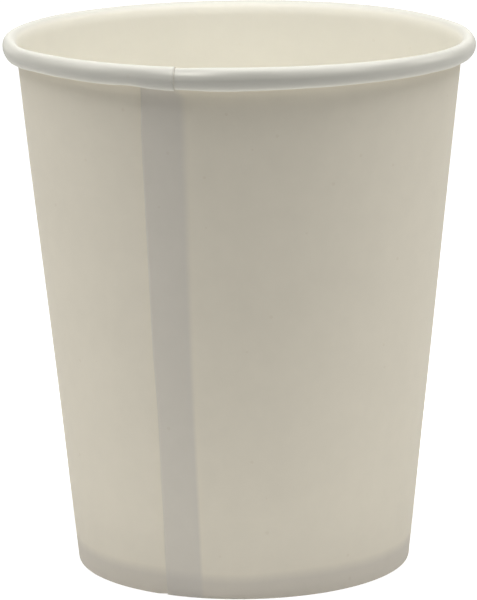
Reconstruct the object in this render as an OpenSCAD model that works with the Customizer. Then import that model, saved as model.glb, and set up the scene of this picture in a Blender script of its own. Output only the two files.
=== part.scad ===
// A single-wall paper cup of the 240 ml size, standing on its foot with its axis on +Z.
// It is two pieces of board: a wrapped side wall and a drawn base.
// The side wall is one flat fan of board. Its ends overlap in a glued lap beside -Y, its top
// edge rolls outwards into the rim, and its foot folds in and up to clamp the base's skirt.
// Sections are drawn in the plane of radius and height. Each is a path along the lined face
// of the board, with the board's layers stacked from there towards its outer, white face.

/* [Cup] */
// Overall height, from the foot to the top of the rim
cup_h = 91; // [84:0.5:104]
// Outside diameter of the rolled rim
rim_d = 80; // [76:0.5:86]
// Outside diameter of the wall at the foot
foot_d = 57; // [52:0.5:60]

/* [Board] */
// Thickness of the side wall's board
wall_t = 0.35; // [0.3:0.01:0.38]
// Thickness of the base's board
base_t = 0.3; // [0.24:0.01:0.36]

/* [Rolled rim] */
// Height of the rolled rim
rim_h = 3.9; // [3.6:0.05:4.6]
// Bend radius inside the top of the rim where it is two layers thick
rim_bend_r = 0.64; // [0.6:0.01:0.8]
// Gap between the tucked edge of the rim and the wall
rim_gap = 0.08; // [0.05:0.01:0.12]
// Turn of the tucked edge, inside the rim
tuck_turn = 80; // [45:5:95]
// Bend radius inside the tucked edge where it is two layers thick
tuck_bend_r = 0.06; // [0.04:0.01:0.1]

/* [Side seam] */
// Width of the glued overlap
lap_w = 6.3; // [5:0.1:9]
// Width over which the outer layer eases down past the inner layer's edge
ease_w = 6; // [4:0.5:8]
// Number of equal steps that the easing is made in
ease_steps = 4; // [2:1:5]

/* [Foot] */
// Height of the hem folded up inside the foot
hem_h = 4.4; // [3.8:0.1:6]
// Bend radius inside the fold of the hem
hem_bend_r = 0.05; // [0.04:0.01:0.1]
// Thickness of the melted lining on each side of the base's skirt
seal_t = 0.05; // [0.04:0.01:0.08]

/* [Base] */
// Height of the base's underside above the top of the hem
base_lift = 0.6; // [0.4:0.05:1]
// Bend radius under the corner between the base and its skirt
base_bend_r = 0.25; // [0.15:0.01:0.4]
// Clearance between the skirt's lower edge and the fold of the hem
skirt_gap = 0.15; // [0.1:0.01:0.4]

/* [Hidden] */
arc_step = 15;
round_fn = 144;
rim_r = rim_d / 2;
foot_r = foot_d / 2;
lap_t = 2 * wall_t;
rim_top_r = rim_bend_r + lap_t;
tuck_r = tuck_bend_r + lap_t;
channel_w = base_t + 2 * seal_t;
base_z = hem_h + base_lift;
board_white = [0.93, 0.91, 0.86];
base_white = [0.90, 0.88, 0.82];

// Slope of the wall from upright: the outer face starts at the foot's radius, and the lined
// face runs tangent into the circle over the top of the rim.
slope_x = rim_r - rim_top_r - foot_r;
slope_z = cup_h - rim_top_r;
wall_tilt = acos((rim_top_r - wall_t) / norm([slope_x, slope_z])) - atan2(slope_z, slope_x);

// Outside radius of the rim's lower turn, which closes on the wall with the named gap where
// the wall is a given stack of board thick.
function rim_low_r(stack) =
    let (reach = (rim_r - foot_r) * cos(wall_tilt) - (cup_h - rim_h) * sin(wall_tilt))
    (reach - (stack - wall_t) - rim_gap) / (1 + cos(wall_tilt) + sin(wall_tilt));

// A path is a list of moves, each [length or radius, turn]. A move with no turn is straight,
// and a positive turn bends to the left. A pose on the path is [radius, height, heading].
function pose_after(pose, move, share) =
    let (turn = move[1] * share, bend = sign(move[1]) * move[0], run = move[0] * share)
    move[1] == 0
        ? [pose.x + run * cos(pose.z), pose.y + run * sin(pose.z), pose.z]
        : [pose.x + bend * (sin(pose.z + turn) - sin(pose.z)),
           pose.y - bend * (cos(pose.z + turn) - cos(pose.z)),
           pose.z + turn];

function poses_along(pose, moves, i = 0) =
    i == len(moves)
        ? [pose]
        : let (n = max(1, ceil(abs(moves[i][1]) / arc_step)))
          concat([for (k = [0:n - 1]) pose_after(pose, moves[i], k / n)],
                 poses_along(pose_after(pose, moves[i], 1), moves, i + 1));

// The outline of a strip of board between two distances to the right of a path.
function strip(start, moves, near, far) =
    let (poses = poses_along(start, moves), last = len(poses) - 1)
    concat([for (i = [0:last]) beside(poses[i], near)],
           [for (i = [last:-1:0]) beside(poses[i], far)]);

function beside(pose, distance) =
    [pose.x + distance * sin(pose.z), pose.y - distance * cos(pose.z)];

// Radius of a line that runs parallel to the wall, a distance inside its outer face.
function wall_line(inset, z) = foot_r + (z * sin(wall_tilt) - inset) / cos(wall_tilt);

// The side wall's path: down the hem's inner leg, across the fold, up the wall, over the
// rim, down its outer side, round its lower turn, up again and over into the tuck.
function sheet_outline(near, far) =
    let (start = [wall_line(wall_t + channel_w, hem_h), hem_h, 270 - wall_tilt],
         fold_z = far + hem_bend_r,
         low_r = rim_low_r(far),
         moves = [
             [(hem_h - fold_z) / cos(wall_tilt) - hem_bend_r * tan(wall_tilt), 0],
             [hem_bend_r, 90 + wall_tilt],
             [(channel_w - 2 * hem_bend_r) / cos(wall_tilt), 0],
             [hem_bend_r, 90 - wall_tilt],
             [(slope_z - fold_z) / cos(wall_tilt) + (rim_top_r + hem_bend_r) * tan(wall_tilt), 0],
             [rim_top_r, wall_tilt - 180],
             [rim_h - rim_top_r - low_r, 0],
             [low_r, -180 - wall_tilt],
             [rim_h - low_r - tuck_r - lap_t - rim_bend_r, 0],
             [tuck_r, -tuck_turn],
         ])
    strip(start, moves, near, far);

// The front of the cup between two planes that run parallel to the seam.
module seam_slab(x_from, x_to) {
    translate([x_from, -rim_r - 1, -1])
        cube([x_to - x_from, rim_r + 1, cup_h + 2]);
}

// The board near the seam between two of those planes.
module seam_piece(near, far, x_from, x_to) {
    intersection() {
        rotate([0, 0, -120])
            rotate_extrude(angle = 60, $fn = round_fn)
                polygon(sheet_outline(near, far));
        seam_slab(x_from, x_to);
    }
}

module sidewall() {
    color(board_white) {
        difference() {
            rotate_extrude($fn = round_fn)
                polygon(sheet_outline(0, wall_t));
            seam_slab(-lap_w, ease_w);
        }
        seam_piece(0, lap_t, -lap_w, 0);
        for (k = [1:ease_steps]) {
            near = wall_t * (1 - k / (ease_steps + 1));
            seam_piece(near, near + wall_t,
                       (k - 1) * ease_w / ease_steps, k * ease_w / ease_steps);
        }
    }
}

// The base's path: out along its underside, round the corner and down inside its skirt.
module base_disc() {
    skirt_inset = wall_t + seal_t + base_t;
    bend_z = base_z - base_bend_r;
    skirt_z = lap_t + skirt_gap;
    moves = [[wall_line(skirt_inset + base_bend_r, bend_z), 0],
             [base_bend_r, -90 - wall_tilt],
             [(bend_z - base_bend_r * sin(wall_tilt) - skirt_z) / cos(wall_tilt), 0]];
    color(base_white)
        rotate_extrude($fn = round_fn)
            polygon(strip([0, base_z, 0], moves, 0, -base_t));
}

sidewall();
base_disc();
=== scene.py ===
"""A plain white single-wall paper cup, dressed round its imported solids.

The cup is two pieces of board. The side wall is one sheet: its path runs down the hem's
inner leg, across the fold, up the wall, over the rim and round into the curl, and its two
ends overlap in a glued lap. The base is a disc with its edge drawn down into a skirt.
Lengths are in metres and angles in radians unless a name says otherwise. Angles round the
cup count from the inner layer's edge in the seam, and the lap lies on their negative side.
"""
import math

import bpy
import numpy as np
from mathutils import Matrix, Vector


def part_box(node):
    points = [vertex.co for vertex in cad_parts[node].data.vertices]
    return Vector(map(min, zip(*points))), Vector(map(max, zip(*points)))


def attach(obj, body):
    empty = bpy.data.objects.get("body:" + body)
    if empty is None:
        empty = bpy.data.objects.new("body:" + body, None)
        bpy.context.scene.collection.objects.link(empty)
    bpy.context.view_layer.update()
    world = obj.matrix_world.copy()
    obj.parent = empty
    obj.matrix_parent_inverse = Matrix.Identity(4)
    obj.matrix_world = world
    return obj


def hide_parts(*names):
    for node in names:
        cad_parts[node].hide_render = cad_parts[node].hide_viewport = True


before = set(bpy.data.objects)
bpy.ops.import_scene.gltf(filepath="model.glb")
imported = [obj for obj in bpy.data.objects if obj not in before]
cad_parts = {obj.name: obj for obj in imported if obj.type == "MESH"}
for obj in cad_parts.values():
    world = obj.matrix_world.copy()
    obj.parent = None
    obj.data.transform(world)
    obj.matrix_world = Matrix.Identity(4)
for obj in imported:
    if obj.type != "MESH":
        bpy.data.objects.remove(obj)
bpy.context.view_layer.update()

MM = 0.001
DEG = math.pi / 180

# The cup, in the sizes of its construction
CUP_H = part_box("sidewall")[1].z
RIM_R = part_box("sidewall")[1].x
FOOT_R = 28.5 * MM
WALL_T = 0.35 * MM
BASE_T = 0.30 * MM
SEAL_T = 0.05 * MM
RIM_H = 3.9 * MM
RIM_TOP_R = 1.34 * MM
RIM_GAP = 0.08 * MM
TUCK_TURN = 80 * DEG
TUCK_R = 0.50 * MM
LAP_W = 6.3 * MM
HEM_H = 4.2 * MM
HEM_BEND_R = 0.05 * MM
CHANNEL_W = BASE_T + 2 * SEAL_T
BASE_Z = 5.0 * MM
BASE_BEND_R = 0.25 * MM
SKIRT_FOOT_Z = 0.85 * MM
UNDER_RIM = CUP_H - RIM_H

# How the two layers lie in the lap, and the turns over which the sheet eases out of it and
# makes room for it. The die presses them this share thinner in the rim and in the hem, and
# its press comes on over so many rows of the grid.
GLUE_T = 0.01 * MM
EASE_TURN = 10 * DEG
MAKE_ROOM_TURN = (343 * DEG, 347 * DEG)
RIM_PRESS = 0.5
HEM_PRESS = 0.5
RIM_PRESS_ROWS = 5
HEM_PRESS_ROWS = 2

# How the lap's edges run: the outer one bows, the inner one flares towards the top, and
# both run off the straight. Each pair of heights is where it is nothing and where it is
# full.
LAP_BOW = 0.33 * MM
LAP_BOW_RISES = (34 * MM, 44 * MM)
LAP_BOW_FALLS = (86 * MM, 78 * MM)
LAP_FLARE = 0.85 * MM
LAP_FLARE_RISES = (30 * MM, 90 * MM)
LAP_FLARE_FALLS = (UNDER_RIM, UNDER_RIM - 1.2 * MM)
FLARE_TURN = 25 * DEG
SEAM_SKEW = 1.5 * DEG

# How uneven the rim's height is. Waves are rows of size in mm, count round the cup, twist
# in radians a metre of height, and start.
RIM_SHORT = 0.60 * MM
RIM_TALL_AT = 8 * DEG
RIM_TALL_SPREAD = 34 * DEG
RIM_PINCH = 0.35 * MM
RIM_PINCH_AT = -11.5 * DEG
RIM_PINCH_SPREAD = 4.5 * DEG
RIM_WAVES = ((0.025, 3, 0, 0.6), (0.020, 7, 0, 2.1), (0.015, 16, 0, 4.0), (0.010, 29, 0, 1.3))

# How much flatter the bead's shoulders are than round turns. The band of the waves is its
# middle and half its width, in quarter turns of the bead.
SHOULDER_ROUND = 0.14 * MM
LOW_SHOULDER_ROUND = 0.24 * MM
SHOULDER_BAND = (0.75, 0.75)
SHOULDER_WAVE_BAND = (0.45, 0.55)
SHOULDER_WAVES = ((0.070, 11, 0, 46 * DEG), (0.035, 5, 0, 2.0), (0.028, 17, 0, 0.7))
SHOULDER_DENT = 0.084 * MM
SHOULDER_DENT_AT = 4 * DEG
SHOULDER_DENT_SPREAD = 4 * DEG

# How the rim sits lower than drawn: everywhere, on one side, and at one place
RIM_SINK = 0.015 * MM
RIM_LEAN = 0.56 * MM
RIM_LEAN_AT = 95 * DEG
RIM_LEAN_WIDTH = 160 * DEG
RIM_DIP = 0.32 * MM
RIM_DIP_AT = -58 * DEG
RIM_DIP_SPREAD = 14 * DEG

# The neck, drawn in under the rim. Its pairs are distances under the rim's lowest line,
# from where it is nothing to where it is full.
NECK = 0.34 * MM
NECK_L = 10 * MM
THROAT_L = 2 * MM
NECK_AT = 8 * DEG
NECK_SPREAD = 26 * DEG
NECK_FOOT = (3.2 * MM, -0.5 * MM)
NECK_HEAD = (-2.4 * MM, -0.8 * MM)

# How the wall wanders, between the heights where that is nothing and where it is full
WALL_WAVES = ((0.050, 2, 30, 0.9), (0.035, 5, -55, 0), (0.020, 9, 70, 1.7))
WALL_WAVES_RISE = (12 * MM, 32 * MM)
WALL_WAVES_FALL = (UNDER_RIM, UNDER_RIM - 18 * MM)

# The hem's edge, which dips beside the seam, and the knurl on its inner leg
HEM_DIP = 0.55 * MM
HEM_DIP_AT = 12 * DEG
HEM_DIP_SPREAD = 13 * DEG
KNURLS = 96
KNURL_DEPTH = 0.05 * MM
KNURL_FADE_ROWS = 2

# How taut the base is: it sags in the middle and waves a little towards its corner, and
# both fade out over the last stretch before it
BASE_SAG = 0.12 * MM
BASE_WAVES = ((0.02, 3, 0, 0.4),)
BASE_FLAT_EDGE = 2 * MM

# Painted shade where more board lies behind a face, standing for the light that shines
# through one layer of board but less through several. The lap's outer edge is crisp and its
# inner one soft, wider towards the top. The hem's edge is blurred, with a faint painted shade
# above it, and shows less in the lap. The rim's painted shade comes on over its top and is
# lighter on its leg and its lip. The base's lining has an even painted shade, so that under
# the open mouth it is no brighter than white.
LAP_EDGE_BLUR = 0.35 * MM
LAP_INNER_BLUR = (0.5 * MM, 1.5 * MM)
HEM_BLUR = 1.8 * MM
HEM_PAINTED_SHADE = 0.22
HEM_PAINTED_SHADE_H = 8 * MM
HEM_IN_LAP_LIGHT = 0.4
RIM_TINT_OVER = 0.38
LEG_LIGHT = 0.24
LEG_LIGHT_OVER = (0.5, 1.0)
LIP_LIGHT = 0.36
LIP_LIGHT_ROUND = 0.4
BASE_DIM = 0.64

# The grids' fineness round the cup
COLUMNS_ROUND = KNURLS * 6
COLUMNS_LAP = 20
BASE_COLUMNS = 240

# The board's patterns. The fine and the wide noise of each have a scale, in waves a metre,
# a detail and a roughness, and the fine one has FINE_SHARE of the sum.
CLOUDS = ((260, 4, 0.6), (70, 2, 0.5))
CLOUD_LEVEL = 0.75
CLOUD_CONTRAST = 2.0
FIBRES = ((2600, 3, 0.65), (900, 2, 0.5))
FIBRE_STRETCH = (1.0, 1.0, 0.45)
FINE_SHARE = 0.6
SPECK_SCALE = 520
SPECK_SIZE = 0.16
SPECK_RARE = 0.94
SPECK_TINT = (0.62, 0.52, 0.38, 1)
COAT_ROUGHNESS = 0.25

# The camera. The lamps and the floor's glow have their places as seen from it.
CAMERA_TURN = 15.35 * DEG
CAMERA_AWAY = 0.66016
CAMERA_UP = 0.18854
CAMERA_PITCH = 0.2144
CAMERA_ROLL = 0.0097
CAMERA_YAW = 0.0008
CAMERA_LENS = 237.2
CAMERA_CLIP = (0.05, 20)
SENSOR = 36.0

# The lamps, each with its place seen from the camera, its width and height, and its watts
LAMPS = (("strip_box", (0, -0.028, 0.45), 1.0, 0.10, 3.00),
         ("front_box", (0, -0.19, 0.55), 0.90, 0.11, 1.16))
AMBIENT = 0.02
FLOOR_R = 3.0
FLOOR_COLUMNS = 96
FLOOR_COLOUR = (0.82, 0.82, 0.82, 1)
GLOW_REACH = (0.11, 0.06)
GLOW_LEVEL = 0.198
SHADE_REACH = 0.3
SHADE_ROOM = 0.38


# ---- shapes ----

def smooth(x):
    """0 below 0, 1 above 1, and the cubic 3x^2 - 2x^3 between."""
    x = np.clip(x, 0, 1)
    return x * x * (3 - 2 * x)


def rise(x, nothing, full):
    """0 on the side of nothing, 1 from full on, and smooth between. Either may be higher."""
    return smooth((x - nothing) / (full - nothing))


def step(x, middle, width):
    """0 before the middle, 1 after it, and smooth over the width around it."""
    return smooth((x - middle) / width + 0.5)


def beside(angle):
    """An angle from the seam, from half a turn before it to half a turn after it."""
    return (angle + math.pi) % (2 * math.pi) - math.pi


def bell(angle, middle, spread):
    """exp(-(d / spread)^2), where d is the angle's distance from the middle."""
    return np.exp(-((beside(angle) - middle) / spread) ** 2)


def waves(terms, angle, height=0.0):
    """The sum of size * sin(count * angle + twist * height + start), with sizes in mm."""
    return MM * sum(size * np.sin(count * angle + twist * height + start)
                    for size, count, twist, start in terms)


WALL_SLOPE = (RIM_R - RIM_TOP_R - FOOT_R, CUP_H - RIM_TOP_R)
WALL_TILT = (math.acos((RIM_TOP_R - WALL_T) / math.hypot(*WALL_SLOPE))
             - math.atan2(WALL_SLOPE[1], WALL_SLOPE[0]))


def wall_line(inset, z):
    """Radius at height z of a line parallel to the wall, inset inside its outer face."""
    return FOOT_R + (z * math.sin(WALL_TILT) - inset) / math.cos(WALL_TILT)


def walk(x, z, heading, moves):
    """The points of a path of straight runs and round bends, for many columns at once.

    A move is (length, 0, rows) or (bend radius, turn, rows). A straight run adds
    length * (cos h, sin h). A bend to the left of radius r by angle a, from heading h, adds
    r * (sin(h + a) - sin h, cos h - cos(h + a)), and one to the right the same with -r.
    """
    parts = []
    for size, turn, rows in moves:
        share = np.arange(rows + 1)[:, None] / rows
        if turn == 0:
            ahead = heading + 0 * share
            run = share * size
            step_x, step_z = run * np.cos(heading), run * np.sin(heading)
        else:
            ahead = heading + share * turn
            bend = math.copysign(1, turn) * size
            step_x = bend * (np.sin(ahead) - np.sin(heading))
            step_z = bend * (np.cos(heading) - np.cos(ahead))
        parts.append(np.stack([x + step_x, z + step_z, ahead]))
        x, z, heading = parts[-1][:, -1]
    whole = np.concatenate([part[:, :-1] for part in parts] + [parts[-1][:, -1:]], axis=1)
    return whole[0], whole[1], whole[2]


def sheet_columns():
    """Angle, offset, stack of board, rim height, hem height and lap share of each column.

    The columns start at the outer layer's edge, cross the lap, go once round and end at
    the inner layer's edge. The offset is the lined face's distance outside the inner
    layer's, one board in the lap, and it eases to nothing after it. The stack is all the
    board between the inner layer's lined face and this layer's bare one. The rim is
    tallest at one place, RIM_SHORT lower away from it, pinched beside the seam and wavy,
    and the hem's edge dips at one place, each by depth * bell. The lap share runs from -1
    at the outer layer's edge to 0, and is 0 from there on.
    """
    lap = np.linspace(-1, 0, COLUMNS_LAP, endpoint=False)
    turn = np.linspace(0, 2 * math.pi, COLUMNS_ROUND + 1)
    angle = np.concatenate([lap * LAP_W / RIM_R, turn])
    layer = WALL_T + GLUE_T
    near = layer * (1 - rise(angle, 0, EASE_TURN))
    stack = near + WALL_T + layer * rise(angle, *MAKE_ROOM_TURN)
    short = RIM_SHORT * (1 - bell(angle, RIM_TALL_AT, RIM_TALL_SPREAD))
    pinch = RIM_PINCH * bell(angle, RIM_PINCH_AT, RIM_PINCH_SPREAD)
    highest = MM * sum(size for size, _, _, _ in RIM_WAVES)
    rim_h = RIM_H - short - pinch + waves(RIM_WAVES, angle) - highest
    hem_h = HEM_H - HEM_DIP * bell(angle, HEM_DIP_AT, HEM_DIP_SPREAD)
    return angle, near, stack, rim_h, hem_h, np.concatenate([lap, np.zeros(len(turn))])


def doubled(stack):
    """How far a stack of board is two layers, from 0 to 1."""
    return (stack - WALL_T) / (WALL_T + GLUE_T)


def sheet_path(stack, rim_h, hem_h):
    """The lined face's path from the hem's edge to the tuck's edge, for every column.

    It gives the radius, height and heading of each row, and the row each stretch starts
    at. A stretch is a move of walk's, and the hem's fold turns in, runs across and turns
    out. The rim's lower turn is the circle that touches the outer leg, the rim's lowest
    line and a line parallel to the wall, the named gap outside the stack of board.
    """
    up, along = math.cos(WALL_TILT), math.sin(WALL_TILT)
    fold_z = stack - HEM_PRESS * doubled(stack) * (2 * WALL_T + GLUE_T) + HEM_BEND_R
    reach = (RIM_R - FOOT_R) * up - (CUP_H - rim_h) * along
    low_r = (reach - (stack - WALL_T) - RIM_GAP) / (1 + up + along)
    to_hem = (hem_h - HEM_BLUR / 2 - fold_z + HEM_BEND_R * along) / up
    wall = (CUP_H - RIM_TOP_R - fold_z) / up + (RIM_TOP_R + HEM_BEND_R) * along / up
    stretches = {
        "hem_leg": ((hem_h - fold_z) / up - HEM_BEND_R * along / up, 0, 4),
        "fold_in": (HEM_BEND_R, math.pi / 2 + WALL_TILT, 3),
        "fold": ((CHANNEL_W - 2 * HEM_BEND_R) / up, 0, 1),
        "fold_out": (HEM_BEND_R, math.pi / 2 - WALL_TILT, 3),
        "foot": (to_hem, 0, 2),
        "hem_edge": (HEM_BLUR, 0, 2),
        "wall": (wall - NECK_L - to_hem - HEM_BLUR, 0, 8),
        "neck": (NECK_L - THROAT_L, 0, 8),
        "throat": (THROAT_L, 0, 5),
        "rim_top": (RIM_TOP_R, WALL_TILT - math.pi, 16),
        "rim_leg": (rim_h - RIM_TOP_R - low_r, 0, 4),
        "rim_lip": (low_r, -math.pi - WALL_TILT, 14),
        "curl": (rim_h - low_r - TUCK_R - RIM_TOP_R, 0, 2),
        "tuck": (TUCK_R, -TUCK_TURN, 5),
    }
    heading = np.full_like(stack, 1.5 * math.pi - WALL_TILT)
    path = walk(wall_line(WALL_T + CHANNEL_W, hem_h), hem_h, heading, stretches.values())
    rows = [count for _, _, count in stretches.values()]
    return path + (dict(zip(stretches, np.cumsum([0] + rows))),)


def bead_dent(angle, x, z, starts):
    """How far the bead's shoulders lie inside its path, along the path's outward normal.

    All three shoulders are flatter than the path's round turns, by depth * cos^2 of the
    distance from their middle. The outer upper one also waves round the rim, the deepest
    beside the seam, in a narrower band nearer the bead's top. s is the length along the
    path, in quarter turns: 0 at the bead's top and 1 where its outer leg begins, and for
    the lower shoulder 0 at the bead's lowest line and 1 where the leg ends.
    """
    length = np.zeros_like(x)
    length[1:] = np.cumsum(np.hypot(np.diff(x, axis=0), np.diff(z, axis=0)), axis=0)

    def quarters(first_stretch, next_stretch):
        first, last = length[starts[first_stretch]], length[starts[next_stretch]]
        return (2 * length - first - last) / (last - first)

    def across(s, middle, half):
        return np.cos(np.clip((s - middle) / half, -1, 1) * math.pi / 2) ** 2

    upper, lower = quarters("rim_top", "rim_leg"), quarters("rim_lip", "curl")
    uneven = (waves(SHOULDER_WAVES, angle)
              + SHOULDER_DENT * bell(angle, SHOULDER_DENT_AT, SHOULDER_DENT_SPREAD))
    return (SHOULDER_ROUND * (across(upper, *SHOULDER_BAND) + across(-upper, *SHOULDER_BAND))
            + LOW_SHOULDER_ROUND * across(-lower, *SHOULDER_BAND)
            + uneven * across(upper, *SHOULDER_WAVE_BAND))


def there_and_back(lined, bare):
    """One grid of rows, along the lined face and back along the bare one."""
    return np.concatenate([lined, bare[::-1]])


# The material slots: the lined face, the bare white one outside, and the cut edge
LINED, BARE, CUT = 0, 1, 2


def link_mesh(name, points, faces, slots):
    """A linked object from points, faces and each face's slot. Cut edges shade flat."""
    mesh = bpy.data.meshes.new(name)
    mesh.from_pydata(points, [], faces)
    mesh.polygons.foreach_set("material_index", slots.astype(np.int32))
    mesh.polygons.foreach_set("use_smooth", slots != CUT)
    mesh.update()
    piece = bpy.data.objects.new(name, mesh)
    bpy.context.scene.collection.objects.link(piece)
    return piece


def quads_between(index, following):
    """The four corners of each cell between a grid of point numbers and its next column."""
    below = np.roll(index, -1, axis=0), np.roll(following, -1, axis=0)
    return np.stack([index, below[0], below[1], following], axis=-1)


def sheet_mesh(name, grid, slots):
    """A sheet from a grid of points, rows by columns by 3, that closes down its rows.

    slots gives each row's material, from that row to the next. The first and the last
    column are the sheet's ends, closed by strips between the two faces of the board.
    """
    rows, columns, _ = grid.shape
    index = np.arange(rows * columns).reshape(rows, columns)
    quads = quads_between(index[:, :-1], index[:, 1:]).reshape(-1, 4)
    half = rows // 2
    lined, bare = index[:half], index[::-1][:half]
    first = np.stack([lined[1:, 0], lined[:-1, 0], bare[:-1, 0], bare[1:, 0]], axis=-1)
    last = np.stack([lined[:-1, -1], lined[1:, -1], bare[1:, -1], bare[:-1, -1]], axis=-1)
    faces = np.concatenate([quads, first, last])
    slots = np.concatenate([np.repeat(slots, columns - 1), np.full(2 * len(first), CUT)])
    return link_mesh(name, grid.reshape(-1, 3), faces.tolist(), slots)


def round_mesh(name, radius, height, slots):
    """A board swept right round the axis, from a pole under it to a pole above it.

    radius and height are rows by columns, and the first and the last row lie on the axis,
    each as one point. slots gives each row's material, from that row to the next.
    """
    rows, columns = radius.shape
    turn = 2 * math.pi * np.arange(columns) / columns
    ring = np.stack([radius * np.sin(turn), -radius * np.cos(turn), height], axis=-1)[1:-1]
    index = np.arange((rows - 2) * columns).reshape(rows - 2, columns)
    following = np.roll(index, -1, axis=1)
    quads = quads_between(following, index)[:-1].reshape(-1, 4)
    low, high = index.size, index.size + 1
    under = np.stack([np.full(columns, low), following[0], index[0]], axis=-1)
    over = np.stack([np.full(columns, high), index[-1], following[-1]], axis=-1)
    poles = [[0, 0, height[0, 0]], [0, 0, height[-1, 0]]]
    slots = np.concatenate([np.repeat(slots[1:-1], columns), np.full(columns, slots[0]),
                            np.full(columns, slots[-1])])
    return link_mesh(name, np.concatenate([ring.reshape(-1, 3), poles]),
                     quads.tolist() + under.tolist() + over.tolist(), slots)


def add_values(piece, name, values):
    """Stores one number a point as a named attribute."""
    layer = piece.data.attributes.new(name, "FLOAT", "POINT")
    layer.data.foreach_set("value", np.ascontiguousarray(values, np.float32).ravel())


def sheet_section(angle, near, stack, x, z, heading, starts):
    """Radius and height of both faces of the side wall's board, there and back.

    The bead's shoulders are flattened, and under the rim the path is drawn in by
    neck * bell. A face lies its offset to the right of the path. The die presses the board
    of the lap to a share of its thickness in the rim and in the hem.
    """
    row = np.arange(len(x))[:, None]
    dent = bead_dent(angle, x, z, starts)
    x, z = x + dent * np.sin(heading), z - dent * np.cos(heading)
    pulled = rise(UNDER_RIM - z, *NECK_FOOT) * rise(UNDER_RIM - z, *NECK_HEAD)
    pulled = pulled * ((row > starts["neck"]) & (row < starts["rim_top"]))
    x = x - NECK * pulled * bell(angle, NECK_AT, NECK_SPREAD)

    rim, hem = starts["rim_top"], starts["hem_edge"]
    press = (RIM_PRESS * rise(row, rim, rim + RIM_PRESS_ROWS)
             + HEM_PRESS * rise(row, hem, hem - HEM_PRESS_ROWS))
    lined = near * (1 - press)
    bare = lined + WALL_T * (1 - press * doubled(stack))
    radius = there_and_back(*(x + offset * np.sin(heading) for offset in (lined, bare)))
    height = there_and_back(*(z - offset * np.cos(heading) for offset in (lined, bare)))
    return radius, height


def lowered(turn, height):
    """Heights scaled so that the rim sits lower: sink + lean * cos^2 + dip * bell."""
    off = np.clip((beside(turn) - RIM_LEAN_AT) / RIM_LEAN_WIDTH, -0.5, 0.5)
    lean = RIM_LEAN * np.cos(off * math.pi) ** 2
    dip = RIM_DIP * bell(turn, RIM_DIP_AT, RIM_DIP_SPREAD)
    return height * (1 - (RIM_SINK + lean + dip) / CUP_H)


def rim_painted_shade(starts, rows, columns):
    """How much of the roll's painted shade each row of the rim has, there and back."""
    row = np.arange(rows)[:, None] + np.zeros(columns)
    over = (row - starts["rim_top"]) / (starts["rim_leg"] - starts["rim_top"])
    lip = (row - starts["rim_lip"]) / (starts["curl"] - starts["rim_lip"])
    # The painted shade comes on over the rim's top and is lighter on its leg and its lip
    tint = (rise(over, 0, RIM_TINT_OVER) - LEG_LIGHT * rise(over, *LEG_LIGHT_OVER)
            - LIP_LIGHT * rise(lip, 0, LIP_LIGHT_ROUND))
    return there_and_back(tint, tint)


def make_sidewall():
    """The side wall's sheet: both faces of its section, swept round the cup's axis.

    A point of the section at radius r goes to (r sin a, -r cos a, z). In the lap the angle
    is a share of asin((lap width + bow) / r), so that but for its bow the outer layer's
    edge is straight and parallel to the seam. The inner layer's edge lies flare / r further
    round. The wall wanders, the hem's inner leg is knurled with ribs of
    depth * (1 - cos(ribs * a)) / 2, the rim sits lower in places, and the seam runs off by
    skew * (1 - z / wall height). Two attributes hold painted shade, by how much board lies
    behind a point, in the lap and in the rolled parts, where less light shines through.
    """
    angle, near, stack, rim_h, hem_h, lap_share = sheet_columns()
    x, z, heading, starts = sheet_path(stack, rim_h, hem_h)
    radius, height = sheet_section(angle, near, stack, x, z, heading, starts)

    bow = LAP_BOW * rise(height, *LAP_BOW_RISES) * rise(height, *LAP_BOW_FALLS)
    lap_turn = np.arcsin((LAP_W + bow) / radius)
    turn = np.where(lap_share < 0, lap_share * lap_turn, angle)
    flare = rise(height, *LAP_FLARE_RISES) * rise(height, *LAP_FLARE_FALLS)
    flare = LAP_FLARE * flare / radius
    turn = turn + flare * rise(angle, 2 * math.pi - FLARE_TURN, 2 * math.pi)

    on_wall = rise(height, *WALL_WAVES_RISE) * rise(height, *WALL_WAVES_FALL)
    radius = radius + on_wall * waves(WALL_WAVES, turn, height)

    row = np.arange(len(x))[:, None]
    leg = rise(row, 0, KNURL_FADE_ROWS) * rise(row, starts["fold_in"],
                                               starts["fold_in"] - KNURL_FADE_ROWS)
    radius = radius - KNURL_DEPTH * there_and_back(leg, leg) * (1 - np.cos(KNURLS * turn)) / 2

    height = lowered(turn, height)
    skewed = turn + SEAM_SKEW * np.clip(1 - height / UNDER_RIM, 0, 1)
    grid = np.stack([radius * np.sin(skewed), -radius * np.cos(skewed), height], axis=-1)
    slots = np.repeat([LINED, CUT, BARE, CUT], [len(x) - 1, 1, len(x) - 1, 1])
    piece = sheet_mesh("sidewall_sheet", grid, slots)

    seam = beside(angle + np.zeros_like(radius))
    lap_edge = step(seam, -lap_turn, LAP_EDGE_BLUR / radius)
    blur = (LAP_INNER_BLUR[0] + LAP_INNER_BLUR[1] * height / CUP_H) / radius
    # Painted shade of the lap's two layers, where less light shines through
    in_lap = np.where(lap_share < 0, 1 - step(beside(turn), flare, blur),
                      lap_edge * (1 - step(seam, flare, blur)))
    # Painted shade of the hem's folded board, where less light shines through
    in_hem = 1 - step(height, hem_h, HEM_BLUR)
    # A faint painted shade over the wall above the hem, fading out upwards
    corner_shade = HEM_PAINTED_SHADE * (1 - rise(height, hem_h, hem_h + HEM_PAINTED_SHADE_H))
    in_hem = (in_hem + corner_shade * (1 - in_hem)) * (1 - HEM_IN_LAP_LIGHT * in_lap)
    # Painted shade of the rolled rim, where less light shines through
    in_rim = rim_painted_shade(starts, *x.shape)
    add_values(piece, "lap_painted_shade", in_lap * (1 - in_rim))
    add_values(piece, "rolled_painted_shade", np.maximum(in_hem, in_rim))
    return piece


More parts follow.
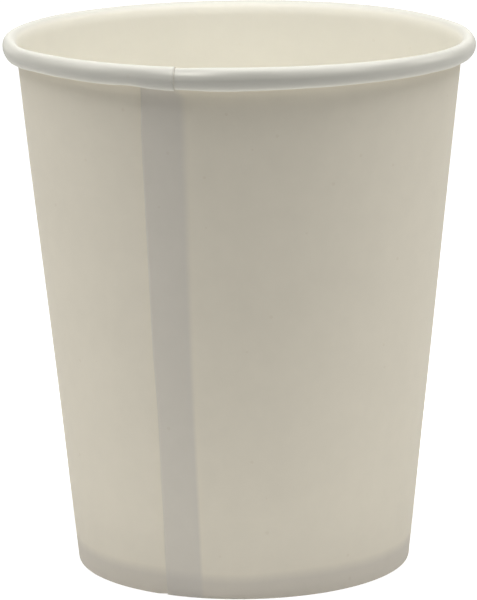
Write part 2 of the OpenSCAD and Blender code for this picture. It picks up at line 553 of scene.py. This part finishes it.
def make_base():
    """The base's board: out along its underside, round the corner and down the skirt.

    The disc is drawn a touch taut: its middle sags by sag * (1 - (r / R)^2), and towards
    its corner it waves by wave * (r / R)^2. Its lining is dimmed evenly, because under the
    open mouth it would else be brighter than white.
    """
    bend_z = BASE_Z - BASE_BEND_R
    corner = wall_line(WALL_T + SEAL_T + BASE_T + BASE_BEND_R, bend_z)
    down = (bend_z - BASE_BEND_R * math.sin(WALL_TILT) - SKIRT_FOOT_Z) / math.cos(WALL_TILT)
    moves = [(corner, 0, 24), (BASE_BEND_R, -math.pi / 2 - WALL_TILT, 7), (down, 0, 6)]
    flat = np.zeros(BASE_COLUMNS)
    x, z, heading = walk(flat, flat + BASE_Z, flat, moves)
    radius = there_and_back(x, x - BASE_T * np.sin(heading))
    height = there_and_back(z, z + BASE_T * np.cos(heading))
    turn = 2 * math.pi * np.arange(BASE_COLUMNS) / BASE_COLUMNS
    out = np.clip(radius / corner, 0, 1) ** 2
    dish = BASE_SAG * (1 - out) + waves(BASE_WAVES, turn) * out
    height = height - dish * rise(radius, corner, corner - BASE_FLAT_EDGE)
    slots = np.repeat([BARE, CUT, LINED], [len(x) - 1, 1, len(x) - 1])
    piece = round_mesh("base_board", radius, height, slots)
    # An even painted shade on the base's lining, so that it is no brighter than white
    for name, value in (("lap_painted_shade", 0.0), ("rolled_painted_shade", BASE_DIM)):
        add_values(piece, name, np.full(len(piece.data.vertices), value))
    return piece


# ---- materials ----

def new_group(name, inputs, outputs):
    """An empty shader node group with the named sockets, and its input and output nodes."""
    group = bpy.data.node_groups.new(name, "ShaderNodeTree")
    for label, kind, value in inputs:
        socket = group.interface.new_socket(label, in_out="INPUT", socket_type=kind)
        socket.default_value = value
    for label, kind in outputs:
        group.interface.new_socket(label, in_out="OUTPUT", socket_type=kind)
    return group, group.nodes.new("NodeGroupInput"), group.nodes.new("NodeGroupOutput")


def feed(tree, socket, value):
    """Links another socket to this one, or sets it to a plain value."""
    if isinstance(value, bpy.types.NodeSocket):
        tree.links.new(value, socket)
    else:
        socket.default_value = value


def math_node(tree, operation, *values, clamp=False):
    """A Math node, each value a socket or a number. Returns its output."""
    node = tree.nodes.new("ShaderNodeMath")
    node.operation = operation
    node.use_clamp = clamp
    for socket, value in zip(node.inputs, values):
        feed(tree, socket, value)
    return node.outputs[0]


def shared(tree, first, second, share):
    """That share of the first value and the rest of the second. Returns the sum."""
    return math_node(tree, "ADD", math_node(tree, "MULTIPLY", first, share),
                     math_node(tree, "MULTIPLY", second, 1 - share))


def tinted(tree, colour, tint, amount):
    """colour times tint, mixed in by amount. Returns the colour socket."""
    mix = tree.nodes.new("ShaderNodeMix")
    mix.data_type = "RGBA"
    mix.blend_type = "MULTIPLY"
    for label, value in (("Factor", amount), ("A", colour), ("B", tint)):
        feed(tree, mix.inputs[label], value)
    return mix.outputs["Result"]


def noise(tree, place, scale, detail, roughness):
    """A Noise texture at a place. Returns its value, about 0 to 1."""
    node = tree.nodes.new("ShaderNodeTexNoise")
    tree.links.new(place, node.inputs["Vector"])
    node.inputs["Scale"].default_value = scale
    node.inputs["Detail"].default_value = detail
    node.inputs["Roughness"].default_value = roughness
    return node.outputs["Fac"]


def board_fibre_group():
    """Paperboard's look: cloudy formation, fine fibres, and a few darker specks.

    It puts out the colour with the clouds and specks in it, and the height of the fibres.
    """
    group, given, out = new_group(
        "board_fibre",
        [("Colour", "NodeSocketColor", (0.8, 0.8, 0.8, 1)), ("Cloud", "NodeSocketFloat", 0.03),
         ("Speck", "NodeSocketFloat", 0.05)],
        [("Colour", "NodeSocketColor"), ("Height", "NodeSocketFloat")])
    place = group.nodes.new("ShaderNodeTexCoord").outputs["Object"]
    clouds = shared(group, *(noise(group, place, *kind) for kind in CLOUDS), FINE_SHARE)
    dark = math_node(group, "MULTIPLY", math_node(group, "SUBTRACT", CLOUD_LEVEL, clouds),
                     CLOUD_CONTRAST, clamp=True)
    colour = tinted(group, given.outputs["Colour"], (0, 0, 0, 1),
                    math_node(group, "MULTIPLY", dark, given.outputs["Cloud"]))
    cells = group.nodes.new("ShaderNodeTexVoronoi")
    group.links.new(place, cells.inputs["Vector"])
    cells.inputs["Scale"].default_value = SPECK_SCALE
    near = math_node(group, "LESS_THAN", cells.outputs["Distance"], SPECK_SIZE)
    picked = group.nodes.new("ShaderNodeSeparateColor")
    group.links.new(cells.outputs["Color"], picked.inputs[0])
    rare = math_node(group, "GREATER_THAN", picked.outputs[0], SPECK_RARE)
    speck = math_node(group, "MULTIPLY", near, rare)
    colour = tinted(group, colour, SPECK_TINT,
                    math_node(group, "MULTIPLY", speck, given.outputs["Speck"]))
    stretch = group.nodes.new("ShaderNodeMapping")
    group.links.new(place, stretch.inputs["Vector"])
    stretch.inputs["Scale"].default_value = FIBRE_STRETCH
    height = shared(group, *(noise(group, stretch.outputs[0], *kind) for kind in FIBRES),
                    FINE_SHARE)
    group.links.new(colour, out.inputs["Colour"])
    group.links.new(height, out.inputs["Height"])
    return group


def painted_shade_group():
    """Painted shade where layers of board lie behind a face: one tint for the lap, one for
    rolls.
    """
    group, given, out = new_group(
        "layers_behind_painted_shade",
        [("Colour", "NodeSocketColor", (0.8, 0.8, 0.8, 1)),
         ("Lap tint", "NodeSocketColor", (1, 1, 1, 1)),
         ("Roll tint", "NodeSocketColor", (1, 1, 1, 1))],
        [("Colour", "NodeSocketColor")])
    colour = given.outputs["Colour"]
    for name, tint in (("lap_painted_shade", "Lap tint"), ("rolled_painted_shade", "Roll tint")):
        layer = group.nodes.new("ShaderNodeAttribute")
        layer.attribute_name = name
        colour = tinted(group, colour, given.outputs[tint], layer.outputs["Fac"])
    group.links.new(colour, out.inputs["Colour"])
    return group


def use_group(tree, group, values):
    """Places a node group in a material, its named inputs fed with the values."""
    node = tree.nodes.new("ShaderNodeGroup")
    node.node_tree = group
    for label, value in values.items():
        feed(tree, node.inputs[label], value)
    return node


def board_material(name, fibre, layers, *, colour, cloud, speck, relief, roughness,
                   coat=0.0, shine=0.3, tints=None):
    """A board face: fibre colour and height, the layers' painted shade, and a plain gloss.

    relief is the fibres' height. roughness is (middle, spread) about that height. coat is
    the lining's weight, and shine the surface's own specular level. tints are the lap's
    and the rolls' painted shade, and a cut edge has none.
    """
    material = bpy.data.materials.new(name)
    material.use_nodes = True
    tree = material.node_tree
    shader = tree.nodes["Principled BSDF"]
    fibres = use_group(tree, fibre, {"Colour": colour, "Cloud": cloud, "Speck": speck})
    result = fibres.outputs["Colour"]
    if tints:
        behind = use_group(tree, layers, {"Colour": result, "Lap tint": tints[0],
                                          "Roll tint": tints[1]})
        result = behind.outputs["Colour"]
    tree.links.new(result, shader.inputs["Base Color"])
    middle, spread = roughness
    rough = math_node(tree, "MULTIPLY_ADD", fibres.outputs["Height"], spread,
                      middle - spread / 2)
    tree.links.new(rough, shader.inputs["Roughness"])
    bump = tree.nodes.new("ShaderNodeBump")
    bump.inputs["Strength"].default_value = 1.0
    bump.inputs["Distance"].default_value = relief
    tree.links.new(fibres.outputs["Height"], bump.inputs["Height"])
    tree.links.new(bump.outputs["Normal"], shader.inputs["Normal"])
    shader.inputs["Coat Weight"].default_value = coat
    shader.inputs["Coat Roughness"].default_value = COAT_ROUGHNESS
    shader.inputs["Specular IOR Level"].default_value = shine
    return material


def cup_materials():
    """The lined face, the bare white face and the cut edge, in the slots' order."""
    fibre, layers = board_fibre_group(), painted_shade_group()
    # The tints are painted shade, in the lap and in the rolled parts, where less light shines
    # through
    lined = board_material(
        "lined_white_board", fibre, layers, colour=(0.91, 0.88, 0.78, 1),
        cloud=0.035, speck=0.05, relief=0.010 * MM, roughness=(0.56, 0.10), coat=0.03,
        shine=0.22, tints=((0.95, 0.95, 0.965, 1), (0.685, 0.695, 0.705, 1)))
    bare = board_material(
        "bare_white_board", fibre, layers, colour=(0.885, 0.824, 0.686, 1),
        cloud=0.05, speck=0.10, relief=0.022 * MM, roughness=(0.74, 0.12),
        tints=((0.85, 0.86, 0.905, 1), (0.80, 0.80, 0.835, 1)))
    cut = board_material(
        "cut_board_edge", fibre, layers, colour=(0.84, 0.79, 0.67, 1),
        cloud=0.15, speck=0.2, relief=0.05 * MM, roughness=(0.88, 0.1))
    return [lined, bare, cut]


# ---- the stage ----

TURN = Matrix.Rotation(CAMERA_TURN, 4, "Z")


def seen_rays(tree):
    """1 for the rays that see the stage, straight or in a gloss or a glass, and else 0."""
    path = tree.nodes.new("ShaderNodeLightPath")
    seen = path.outputs["Is Camera Ray"]
    for kind in ("Is Glossy Ray", "Is Transmission Ray"):
        seen = math_node(tree, "MAXIMUM", seen, path.outputs[kind])
    return seen


def near_cup(tree, reach_x, reach_y):
    """exp(-r^2) on the floor, where r^2 is (x / reach x)^2 + (y / reach y)^2.

    x runs across the photograph's view and y away from it.
    """
    place = tree.nodes.new("ShaderNodeTexCoord").outputs["Object"]
    turned = tree.nodes.new("ShaderNodeMapping")
    turned.vector_type = "TEXTURE"
    turned.inputs["Rotation"].default_value = (0, 0, CAMERA_TURN)
    turned.inputs["Scale"].default_value = (reach_x, reach_y, 1)
    tree.links.new(place, turned.inputs["Vector"])
    far = tree.nodes.new("ShaderNodeVectorMath")
    far.operation = "LENGTH"
    tree.links.new(turned.outputs[0], far.inputs[0])
    square = math_node(tree, "MULTIPLY", far.outputs["Value"], far.outputs["Value"])
    return math_node(tree, "POWER", 1 / math.e, square)


def make_floor():
    """A round pale floor, white to the camera and dimmer only where the cup shades it.

    As on a light table, it glows a little round the cup. What the camera sees of its own
    white drops round the cup too, so that a shadow shows.
    """
    turn = np.linspace(0, 2 * math.pi, FLOOR_COLUMNS, endpoint=False)
    ring = FLOOR_R * np.stack([np.cos(turn), np.sin(turn), 0 * turn], axis=-1)
    mesh = bpy.data.meshes.new("floor")
    mesh.from_pydata(ring, [], [list(range(FLOOR_COLUMNS))])
    floor = bpy.data.objects.new("floor", mesh)
    bpy.context.scene.collection.objects.link(floor)

    material = bpy.data.materials.new("pale_floor")
    material.use_nodes = True
    tree = material.node_tree
    tree.nodes.remove(tree.nodes["Principled BSDF"])
    diffuse = tree.nodes.new("ShaderNodeBsdfDiffuse")
    diffuse.inputs["Color"].default_value = FLOOR_COLOUR
    glow = tree.nodes.new("ShaderNodeEmission")
    seen = seen_rays(tree)
    unseen = math_node(tree, "SUBTRACT", 1.0, seen)
    lit = math_node(tree, "MULTIPLY",
                    math_node(tree, "MULTIPLY", near_cup(tree, *GLOW_REACH), unseen), GLOW_LEVEL)
    dim = math_node(tree, "MULTIPLY", near_cup(tree, SHADE_REACH, SHADE_REACH), SHADE_ROOM)
    white = math_node(tree, "MULTIPLY", seen, math_node(tree, "SUBTRACT", 1.0, dim))
    tree.links.new(math_node(tree, "ADD", white, lit), glow.inputs["Strength"])
    both = tree.nodes.new("ShaderNodeAddShader")
    tree.links.new(diffuse.outputs[0], both.inputs[0])
    tree.links.new(glow.outputs[0], both.inputs[1])
    tree.links.new(both.outputs[0], tree.nodes["Material Output"].inputs["Surface"])
    floor.data.materials.append(material)


def make_world():
    """White where the camera sees it, and a plain dim light on the object."""
    world = bpy.data.worlds.new("studio")
    bpy.context.scene.world = world
    world.use_nodes = True
    tree = world.node_tree
    background = tree.nodes["Background"]
    background.inputs["Color"].default_value = (1, 1, 1, 1)
    strength = math_node(tree, "MULTIPLY_ADD", seen_rays(tree), 1 - AMBIENT, AMBIENT)
    tree.links.new(strength, background.inputs["Strength"])


def softbox(name, place, width, height, watts):
    """An area lamp that faces the cup's middle, its width across the camera's view.

    The place is given as seen by the camera: x to its right, y away from it, z up.
    """
    light = bpy.data.lights.new(name, "AREA")
    light.shape = "RECTANGLE"
    light.size, light.size_y = width, height
    light.energy = watts
    place = TURN @ Vector(place)
    back = (place - Vector((0, 0, CUP_H / 2))).normalized()
    up = back.cross(TURN @ Vector((1, 0, 0))).normalized()
    axes = Matrix((up.cross(back), up, back)).transposed().to_4x4()
    lamp = bpy.data.objects.new(name, light)
    lamp.matrix_world = Matrix.Translation(place) @ axes
    bpy.context.scene.collection.objects.link(lamp)


def make_camera():
    """The camera of the photograph: level with a small pitch down and a slight roll."""
    data = bpy.data.cameras.new("camera")
    data.lens = CAMERA_LENS
    data.sensor_width = SENSOR
    data.clip_start, data.clip_end = CAMERA_CLIP
    camera = bpy.data.objects.new("camera", data)
    facing = (Matrix.Rotation(CAMERA_YAW, 4, "Z")
              @ Matrix.Rotation(math.pi / 2 - CAMERA_PITCH, 4, "X"))
    roll = Matrix.Rotation(-CAMERA_ROLL, 4, "Z")
    camera.matrix_world = (TURN @ Matrix.Translation((0, -CAMERA_AWAY, CAMERA_UP))
                           @ facing @ roll)
    bpy.context.scene.collection.objects.link(camera)
    bpy.context.scene.camera = camera


# ---- the cup ----

materials = cup_materials()
for piece, node, slot in ((make_sidewall(), "sidewall", "sidewall_board"),
                          (make_base(), "base_disc", "base_board")):
    for material in materials:
        piece.data.materials.append(material)
    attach(piece, "root")
    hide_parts(node)

make_camera()
make_floor()
make_world()
for lamp in LAMPS:
    softbox(*lamp)

bpy.context.scene.view_settings.view_transform = "Standard"
